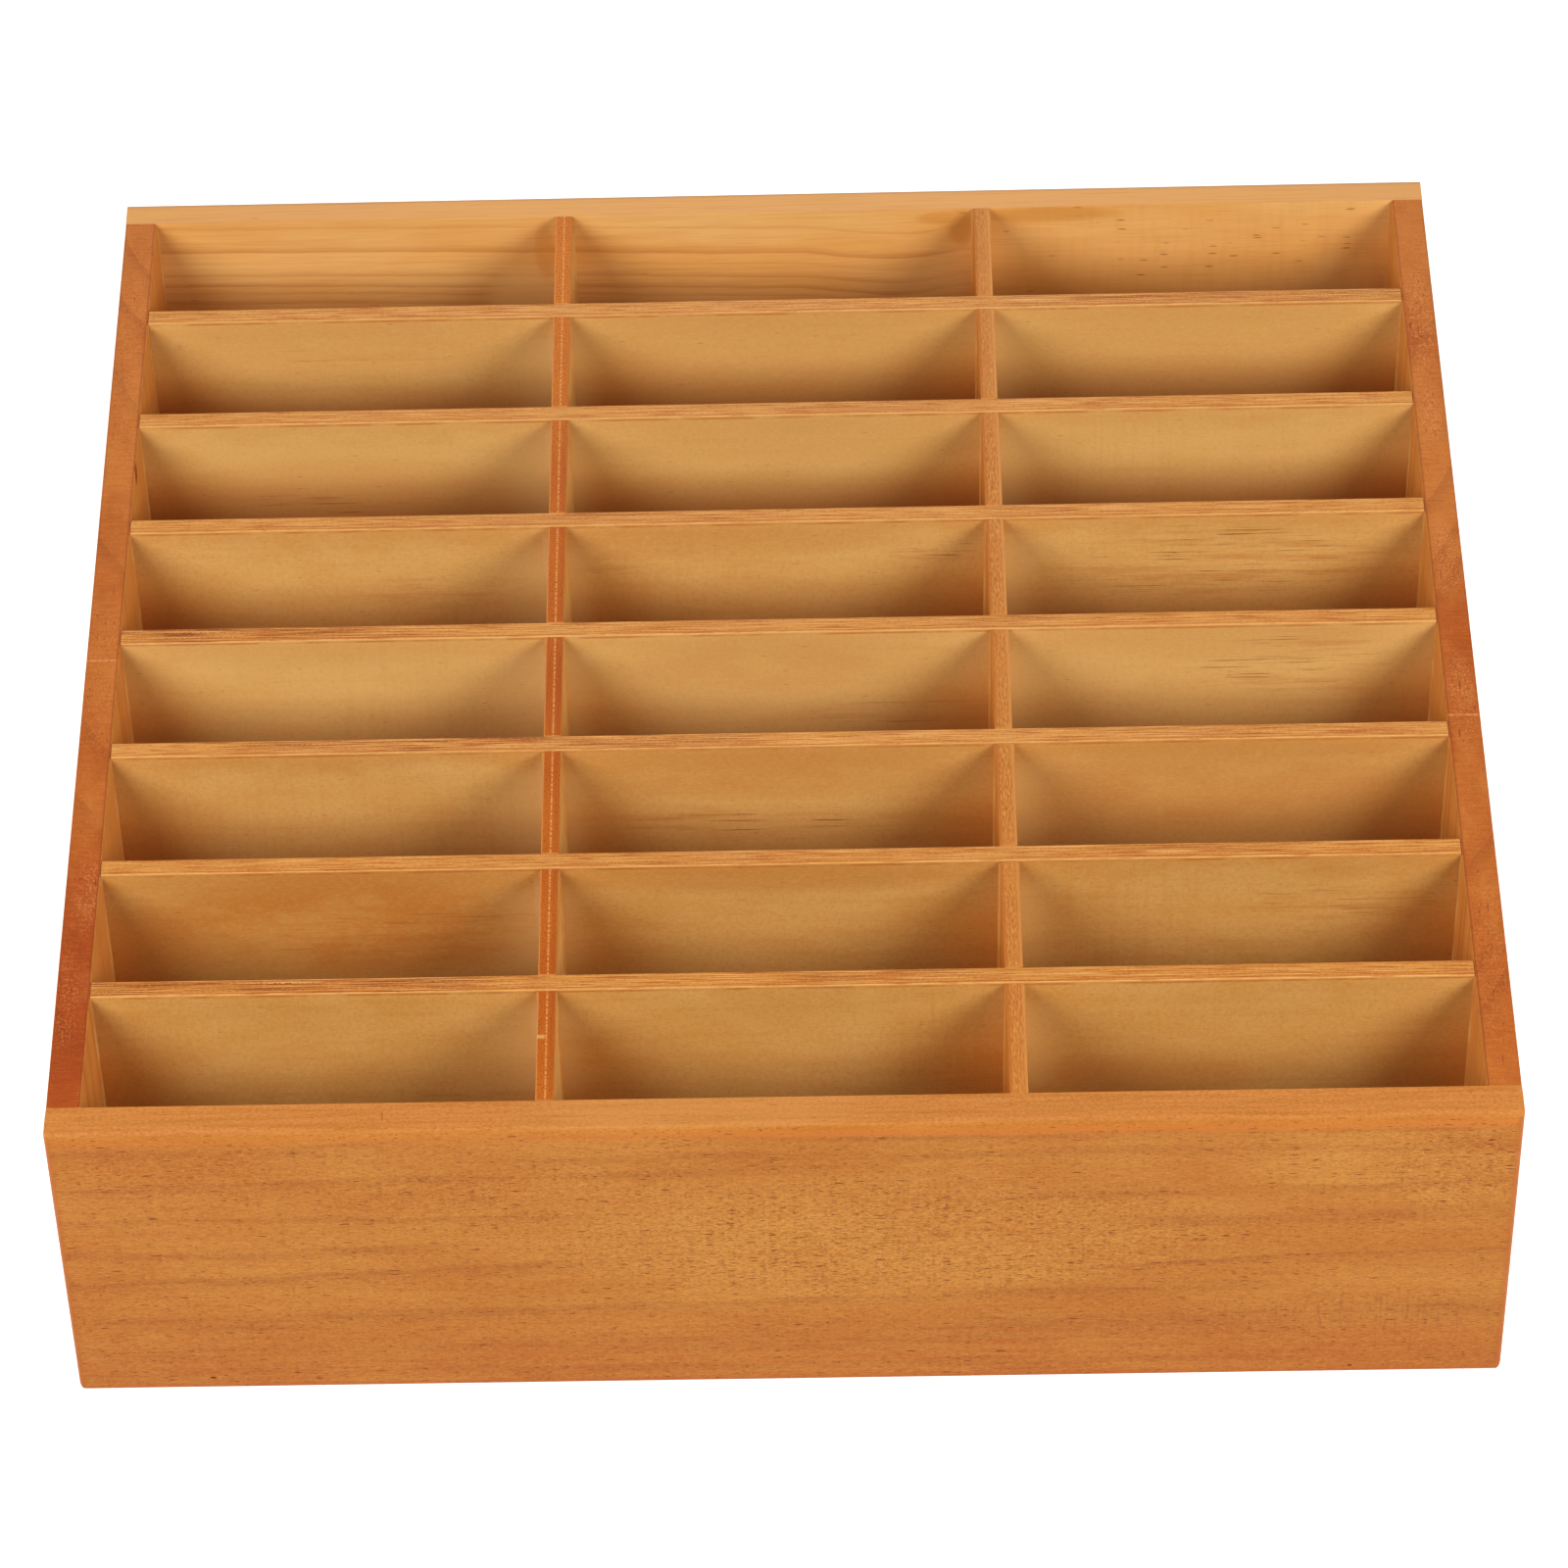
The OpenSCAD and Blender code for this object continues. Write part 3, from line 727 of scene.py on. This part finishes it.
def pale_strip_beside_divider(s):
    """Pale strip beside the left long divider."""
    edge = LOW[LONG[0]].x
    ragged = s.noise(s.stretched(s.place, 8, 8, 5), detail=2)
    start = s.calc("ADD", s.x, s.centred(ragged, 2.0))
    return s.product(s.window(start, edge - 2.2, edge + 2, 1.2), s.window(s.below_top(), 1, 40, 5))


def bounce_light_beside_uprights(s, depth):
    """Painted bounce light beside the long dividers, thrown from their lit faces onto the wall."""
    ragged = s.noise(s.stretched(s.place, 9, 9, 9), detail=2)
    start = s.calc("ADD", s.x, s.centred(ragged, 3.0))
    near = 0.0
    for x, side, reach, strength in BOUNCE_LIT_SIDES:
        away = s.calc("MULTIPLY_ADD", start, side, -side * x)
        beside = s.product(s.ease(away, -2, -1), s.ease(away, reach, 0, 0.0, strength))
        near = s.calc("MAXIMUM", beside, near)
    return s.product(near, s.window(depth, 2, 38, 9))


def ply_wall(s, grain, look, depth):
    """Colour of a cross divider's faces before streaks, painted shade and painted light, with its fibre and
    mottling.
    """
    fibre = s.noise(s.stretched(grain, 1.3, 0.5), detail=2, roughness=0.6)
    mottle = s.noise(s.stretched(grain, 20, 11), detail=5, roughness=0.62)
    streak = s.noise(s.stretched(grain, 30, 2.4), detail=4, roughness=0.65)
    light = s.calc("ADD", s.ease(mottle, 0.3, 0.7, 0.0, 0.6), look["light"] * 0.6, clamp=True)
    colour = s.mix(light, PLY_MID, PLY_LIGHT)
    colour = s.tint(colour, streak, 0.45, 0.75, 0.2, PLY_ORANGE)
    orange = s.patches(s.x, depth, look["orange"])
    colour = s.mix(s.product(orange, s.ease(mottle, 0.35, 0.6, 0.35, 0.9)), colour, PLY_ORANGE)
    border = s.calc("ADD", depth, s.centred(mottle, 14))
    colour = s.tint(colour, border, 8, 1, look["border"], PLY_ORANGE)
    chatter = s.noise(s.stretched(grain, 1.3, 24), detail=3)
    marks = s.product(s.window(s.x, *look["chatter"], 12), s.ease(chatter, 0.4, 0.75, 0.0, 0.16))
    colour = s.mix(marks, colour, PLY_ORANGE)
    weave = s.noise(s.stretched(grain, 0.6, 1.6), detail=2)
    colour = s.tint(colour, fibre, 0.42, 0.8, 0.34, PLY_ORANGE)
    colour = s.tint(colour, fibre, 0.52, 0.25, 0.3, PLY_LIGHT)
    colour = s.tint(colour, weave, 0.42, 0.8, 0.26, PLY_ORANGE)
    return colour, fibre, mottle, streak


def ply_streaks(s, colour, grain, look, depth, streak):
    """Broken line under the top edge, dark streaks and short vessel lines."""
    broken = s.noise(s.stretched(grain, 12, 400), detail=3)
    lip = s.product(s.window(depth, 0.1, 1.1, 0.4), s.ease(broken, 0.4, 0.6, 0.1, 0.6))
    colour = s.mix(lip, colour, PLY_RED)
    streaky = s.patches(s.x, depth, look["streaks"])
    thread = s.noise(s.stretched(grain, 24, 0.55), detail=3, roughness=0.55)
    colour = s.mix(s.product(streaky, s.ease(streak, 0.45, 0.7, 0.0, 0.35)), colour, PLY_RED)
    colour = s.mix(s.product(streaky, s.ease(thread, 0.6, 0.7)), colour, PLY_DARK)
    lines = s.flecks(grain, 5, 0.9, 0.10, size=0.2)
    return s.mix(s.product(lines, 0.35), colour, PLY_DARK), lines


def ply_painted_shade_and_light(s, colour, depth, shade, deep):
    """Painted shade in the corners and deep down, the divider's shade, and painted bounce light and a pale
    strip beside the long dividers.
    """
    colour = s.mix(shade_in_corners(s, depth), colour, CORNER_PAINTED_SHADE, "MULTIPLY")
    colour = s.mix(s.ease(depth, 12, 34, 0.0, deep), colour, DEEP_PAINTED_SHADE, "MULTIPLY")
    colour = s.mix(1.0, colour, (shade, shade, shade, 1.0), "MULTIPLY")
    colour = s.mix(s.product(bounce_light_beside_uprights(s, depth), 0.4), colour, PLY_PALE_AND_BOUNCE)
    return s.mix(s.product(pale_strip_beside_divider(s), 0.3), colour, STRIP_PALE)


def cross_top(s, name, grain, look, seed):
    """Colour and fibre of the plies along a cross divider's sloping top edge."""
    middle = (LOW[name].y + HIGH[name].y) / 2
    wander = s.noise(s.stretched(grain, 60, 400), detail=2)
    across = s.calc("MULTIPLY_ADD", s.y, 1 / PLY_T, -middle / PLY_T)
    across = s.calc("ADD", across, s.centred(wander, 0.12))
    brown = 0.15
    for low, high, strength in look["brown"]:
        brown = s.calc("MAXIMUM", s.product(s.window(s.x, low, high, 25), strength), brown)
    return ply_edge(s, s.x, across, seed, brown, look["top_pale"])


def cross_material(name, index):
    s = Shader(name + "_plywood")
    grain = s.grain("xzy", 11 + index)
    look = DIVIDER_LOOKS[index]
    pale, shade, deep = look["tone"]
    depth = s.below_top()
    colour, fibre, mottle, streak = ply_wall(s, grain, look, depth)
    colour = s.mix(pale, colour, PLY_PALE_AND_BOUNCE)
    colour, lines = ply_streaks(s, colour, grain, look, depth, streak)
    colour = ply_painted_shade_and_light(s, colour, depth, shade, deep)
    edge, edge_fibre = cross_top(s, name, grain, look, 11.0 + index)
    top = s.on_top()
    colour = s.mix(top, colour, edge)
    height = s.calc("SUBTRACT", s.mix(top, fibre, edge_fibre), s.product(lines, 0.8))
    return s.finish(colour, s.ease(mottle, 0.3, 0.7, 0.42, 0.52), height, 0.03)


LONG_RED = rgb(176, 80, 10)
LONG_DEEP = rgb(140, 54, 2)
LONG_CORE = rgb(226, 150, 80)
LONG_ORANGE = rgb(212, 120, 32)
LONG_LIGHT = rgb(204, 130, 56)
# Pale nick across the left half of the reddish long divider's top edge
LONG_NICK_Y = -116


def long_red_edge(s, across):
    """Top edge of the reddish long divider: end grain plies either side of a pale broken core."""
    tone = s.noise(s.line(s.y, 36, 4.0, 2.0), detail=2)
    grit = s.noise(s.sheet(s.y, 0.5, across, 1 / 9, 5.0), detail=2)
    thread = s.noise(s.sheet(s.y, 12, across, 1 / 10, 6.0), detail=3)
    tone = s.calc("ADD", s.ease(tone, 0.35, 0.65, 0.1, 0.5), s.ease(s.y, 10, 110, 0.0, 0.6), clamp=True)
    edge = s.mix(tone, LONG_RED, LONG_ORANGE)
    shaded = s.product(s.ease(across, 0.1, 0.35, 0.0, 0.22), s.ease(s.y, 100, 30, 0.3, 1.0))
    edge = s.mix(shaded, edge, LONG_DEEP)
    edge = s.tint(edge, thread, 0.5, 0.75, 0.3, LONG_ORANGE)
    edge = s.tint(edge, grit, 0.45, 0.7, 0.6, LONG_DEEP)
    dash = s.noise(s.line(s.y, 0.7, 3.0, 8.0), detail=2)
    core = s.product(s.stripe(across, 0.04, 0.08), s.ease(dash, 0.42, 0.56, 0.1, 1.0))
    pale = s.product(s.ease(across, -0.4, -0.46), 0.6)
    edge = s.mix(s.calc("MAXIMUM", core, pale), edge, LONG_CORE)
    nick = s.product(s.stripe(s.y, LONG_NICK_Y, 0.7), s.ease(across, 0.0, -0.1), 0.7)
    return s.mix(nick, edge, PLY_LIGHT)


def long_light_edge(s, across):
    """Top edge of the lighter long divider: speckled pores between two orange lines."""
    fine = s.noise(s.sheet(s.y, 8, across, 1 / 10, 3.0), detail=4, roughness=0.65)
    edge = s.mix(s.ease(fine, 0.34, 0.66), EDGE_MID, LONG_LIGHT)
    rear = s.ease(s.y, -110, 110, 0.12, 0.32)
    edge = s.mix(s.product(s.ease(across, 0.0, 0.4), rear), edge, EDGE_PALE)
    lines = s.calc("MAXIMUM", s.stripe(across, -0.42, 0.1), s.product(s.stripe(across, 0.3, 0.06), 0.5))
    edge = s.mix(s.product(lines, 0.6), edge, EDGE_ORANGE)
    grit = s.noise(s.sheet(s.y, 1.5, across, 1 / 11, 5.0), detail=3)
    zone = s.noise(s.line(s.y, 30, 9.0, 1.0), detail=1)
    edge = s.mix(s.product(s.stripe(across, -0.02, 0.5), s.ease(grit, 0.48, 0.3, 0.0, 0.5)), edge, EDGE_PALE)
    dots = s.product(s.stripe(across, -0.02, 0.46, 0.6), s.ease(grit, 0.5, 0.62))
    strength = s.product(s.ease(zone, 0.35, 0.6, 0.5, 1.0), s.ease(s.y, 40, 110, 0.42, 0.22))
    edge = s.mix(s.product(dots, strength), edge, LONG_DEEP)
    return s.mix(s.product(s.ease(across, 0.4, 0.48), 0.5), edge, LONG_CORE)


def long_material(name, index):
    s = Shader(name + "_plywood")
    grain = s.grain("yzx", 21 + index)
    fibre = s.noise(s.stretched(grain, 7, 0.5), detail=3, roughness=0.65)
    mottle = s.noise(s.stretched(grain, 30, 12), detail=3)
    colour = s.mix(s.ease(mottle, 0.3, 0.7), PLY_MID, PLY_LIGHT)
    colour = s.mix(s.ease(s.normal[0], -0.5, -0.9), colour, PLY_ORANGE)
    colour = s.tint(colour, fibre, 0.35, 0.75, 0.25, PLY_ORANGE)
    border = s.calc("ADD", s.below_top(), s.centred(mottle, 14))
    colour = s.tint(colour, border, 9, 1, 0.6, PLY_ORANGE)
    middle = (LOW[name].x + HIGH[name].x) / 2
    across = s.calc("MULTIPLY_ADD", s.x, 1 / PLY_T, -middle / PLY_T)
    edge = long_red_edge(s, across) if index == 0 else long_light_edge(s, across)
    top = s.on_top()
    colour = s.mix(top, colour, edge)
    return s.finish(colour, 0.48, fibre, 0.03)


def base_material():
    s = Shader("base_panel_plywood")
    grain = s.grain("xyz", 31)
    fibre = s.noise(s.stretched(grain, 20, 0.5), detail=3, roughness=0.65)
    mottle = s.noise(s.stretched(grain, 40, 18), detail=3)
    colour = s.mix(s.ease(mottle, 0.3, 0.7), PLY_ORANGE, PLY_MID)
    colour = s.tint(colour, fibre, 0.35, 0.75, 0.3, PLY_DARK)
    return s.finish(colour, 0.5, fibre, 0.03)


def dress(name, material):
    for slot in NODES[name].material_slots:
        slot.material = material


# Sanded arrises on the dividers' edges sharper than an angle in degrees
ARRIS_W = 0.25
ARRIS_ANGLE = 40
WELD_GAP = 0.005


def soften(name):
    weld = NODES[name].modifiers.new("weld", "WELD")
    weld.merge_threshold = WELD_GAP * MM
    bevel = NODES[name].modifiers.new("arris", "BEVEL")
    bevel.width = ARRIS_W * MM
    bevel.segments = 2
    bevel.limit_method = "ANGLE"
    bevel.angle_limit = math.radians(ARRIS_ANGLE)
    bevel.harden_normals = False


# Glue beads in the upright corners of the compartments
BEAD_W = 0.4
BEAD_TOP_GAP = 0.5
GLUE = rgb(216, 162, 88)


def bead_corners():
    """Corners as (x, side the free face looks to in x, y, side in y)."""
    walls = [(-INNER_W / 2, 1), (INNER_W / 2, -1)]
    for name in LONG:
        walls += [(LOW[name].x, -1), (HIGH[name].x, 1)]
    faces = [(HIGH["front_board"].y, 1), (LOW["back_board"].y, -1)]
    for name in CROSS:
        faces += [(LOW[name].y, -1), (HIGH[name].y, 1)]
    return [(x, side_x, y, side_y) for x, side_x in walls for y, side_y in faces]


def glue_material():
    s = Shader("glue_beads")
    wave = s.noise(s.stretched(s.place, 2, 2, 9), detail=3)
    colour = s.mix(s.ease(wave, 0.35, 0.65, 0.2, 0.8), PLY_ORANGE, GLUE)
    return s.finish(colour, 0.6, wave, 0.1)


def glue_beads():
    """Thin three-sided beads from the base panel up to just under the top edges."""
    points, faces = [], []
    for number, (x, side_x, y, side_y) in enumerate(bead_corners()):
        # The widths are spread evenly over a quarter either way
        width = BEAD_W * (0.75 + 0.5 * ((number * 37) % 11) / 10)
        top = FRONT_TOP_Z + (y - FRONT_Y) * SLOPE - BEAD_TOP_GAP
        start = len(points)
        for z in (HIGH["base_panel"].z, top):
            points += [(x, y, z), (x + side_x * width, y, z), (x, y + side_y * width, z)]
        turned = side_x * side_y > 0
        for face in ((0, 2, 1), (3, 4, 5), (0, 1, 4, 3), (1, 2, 5, 4), (2, 0, 3, 5)):
            corners = face if turned else face[::-1]
            faces.append(tuple(start + corner for corner in corners))
    mesh = bpy.data.meshes.new("glue_beads")
    mesh.from_pydata([Vector(p) * MM for p in points], [], faces)
    mesh.materials.append(glue_material())
    piece = bpy.data.objects.new("glue_beads", mesh)
    bpy.context.scene.collection.objects.link(piece)
    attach(piece, "root")


def dress_all():
    dress("front_board", front_material())
    dress("back_board", back_material())
    left_seam, right_seam = HIGH["left_front_stave"].y, HIGH["right_front_stave"].y
    dress("left_front_stave", side_material("left_front_stave", 3, left_seam))
    dress("left_rear_stave", side_material("left_rear_stave", 4, left_seam))
    dress("right_front_stave", side_material("right_front_stave", 5, right_seam))
    dress("right_rear_stave", side_material("right_rear_stave", 6, right_seam))
    dress("base_panel", base_material())
    for index, name in enumerate(CROSS):
        dress(name, cross_material(name, index))
        soften(name)
    for index, name in enumerate(LONG):
        dress(name, long_material(name, index))
        soften(name)


# Studio
FLOOR_HALF = 4.0
FLOOR_GAP = 0.0003
FLOOR_LEVEL = 0.8
FLOOR_GLOW = 0.8
WORLD_LEVEL = 0.03
LIGHT_AIM_Z = 0.06
# Name, azimuth and elevation in degrees, distance and diameter in metres, strength
SOFTBOXES = [
    ("left_softbox", -50, 30, 1.0, 0.65, 0.76),
    ("right_softbox", 54, 27, 1.0, 0.5, 0.70),
    ("rear_softbox", 180, 50, 0.6, 0.45, 0.25),
]

# Camera fitted to the photo: focal length in pixels of a 1600 pixel frame, and its centre there
FRAME_PX = 1600
FOCAL_PX = 5211.5
CENTRE_PX = (730, 760)
CAMERA_PLACE = (0.010846, -0.996406, 0.887142)
CAMERA_TILT = 0.6794
CAMERA_TURN = 0.0270
CAMERA_ROLL = -0.0340
SENSOR_MM = 36


def make_camera():
    data = bpy.data.cameras.new("camera")
    data.sensor_width = SENSOR_MM
    data.lens = FOCAL_PX / FRAME_PX * SENSOR_MM
    data.shift_x = (FRAME_PX / 2 - CENTRE_PX[0]) / FRAME_PX
    data.shift_y = (CENTRE_PX[1] - FRAME_PX / 2) / FRAME_PX
    camera = bpy.data.objects.new("camera", data)
    bpy.context.scene.collection.objects.link(camera)
    turn = Matrix.Rotation(CAMERA_TURN, 4, "Z")
    tilt = Matrix.Rotation(math.pi / 2 - CAMERA_TILT, 4, "X")
    roll = Matrix.Rotation(CAMERA_ROLL, 4, "Z")
    camera.matrix_world = Matrix.Translation(CAMERA_PLACE) @ turn @ tilt @ roll
    bpy.context.scene.camera = camera


def seen_directly(tree):
    """One for rays from the camera and for reflections and refractions of it, otherwise zero."""
    path = tree.nodes.new("ShaderNodeLightPath")
    result = path.outputs["Is Camera Ray"]
    for name in ("Is Glossy Ray", "Is Transmission Ray"):
        either = tree.nodes.new("ShaderNodeMath")
        either.operation = "MAXIMUM"
        tree.links.new(result, either.inputs[0])
        tree.links.new(path.outputs[name], either.inputs[1])
        result = either.outputs[0]
    return result


def make_floor():
    """Plain white floor that keeps the soft shadow."""
    mesh = bpy.data.meshes.new("floor")
    corners = [(-1, -1), (1, -1), (1, 1), (-1, 1)]
    mesh.from_pydata([(x * FLOOR_HALF, y * FLOOR_HALF, -FLOOR_GAP) for x, y in corners], [], [(0, 1, 2, 3)])
    floor = bpy.data.objects.new("floor", mesh)
    bpy.context.scene.collection.objects.link(floor)
    material = bpy.data.materials.new("floor")
    material.use_nodes = True
    tree = material.node_tree
    shader = tree.nodes["Principled BSDF"]
    shader.inputs["Base Color"].default_value = (*[FLOOR_LEVEL] * 3, 1)
    shader.inputs["Roughness"].default_value = 0.9
    shader.inputs["Emission Color"].default_value = (1, 1, 1, 1)
    glow = tree.nodes.new("ShaderNodeMath")
    glow.operation = "MULTIPLY"
    glow.inputs[1].default_value = FLOOR_GLOW
    tree.links.new(seen_directly(tree), glow.inputs[0])
    tree.links.new(glow.outputs[0], shader.inputs["Emission Strength"])
    mesh.materials.append(material)


def softbox(name, azimuth, elevation, distance, size, strength):
    """Round soft light aimed at the box. Strength 1 lights a facing surface to its own colour."""
    data = bpy.data.lights.new(name, "AREA")
    data.shape = "DISK"
    data.size = size
    data.energy = strength * (math.pi * distance) ** 2
    light = bpy.data.objects.new(name, data)
    bpy.context.scene.collection.objects.link(light)
    a, e = math.radians(azimuth), math.radians(elevation)
    back = Vector((math.sin(a) * math.cos(e), -math.cos(a) * math.cos(e), math.sin(e)))
    light.location = back * distance + Vector((0, 0, LIGHT_AIM_Z))
    light.rotation_mode = "QUATERNION"
    light.rotation_quaternion = back.to_track_quat("Z", "Y")


def make_lights():
    for box in SOFTBOXES:
        softbox(*box)
    world = bpy.data.worlds.new("studio")
    bpy.context.scene.world = world
    world.use_nodes = True
    tree = world.node_tree
    background = tree.nodes["Background"]
    background.inputs[0].default_value = (1, 1, 1, 1)
    level = tree.nodes.new("ShaderNodeMapRange")
    level.inputs["To Min"].default_value = WORLD_LEVEL
    tree.links.new(seen_directly(tree), level.inputs["Value"])
    tree.links.new(level.outputs[0], background.inputs[1])


dress_all()
glue_beads()
make_camera()
make_floor()
make_lights()
bpy.context.scene.view_settings.view_transform = "Standard"
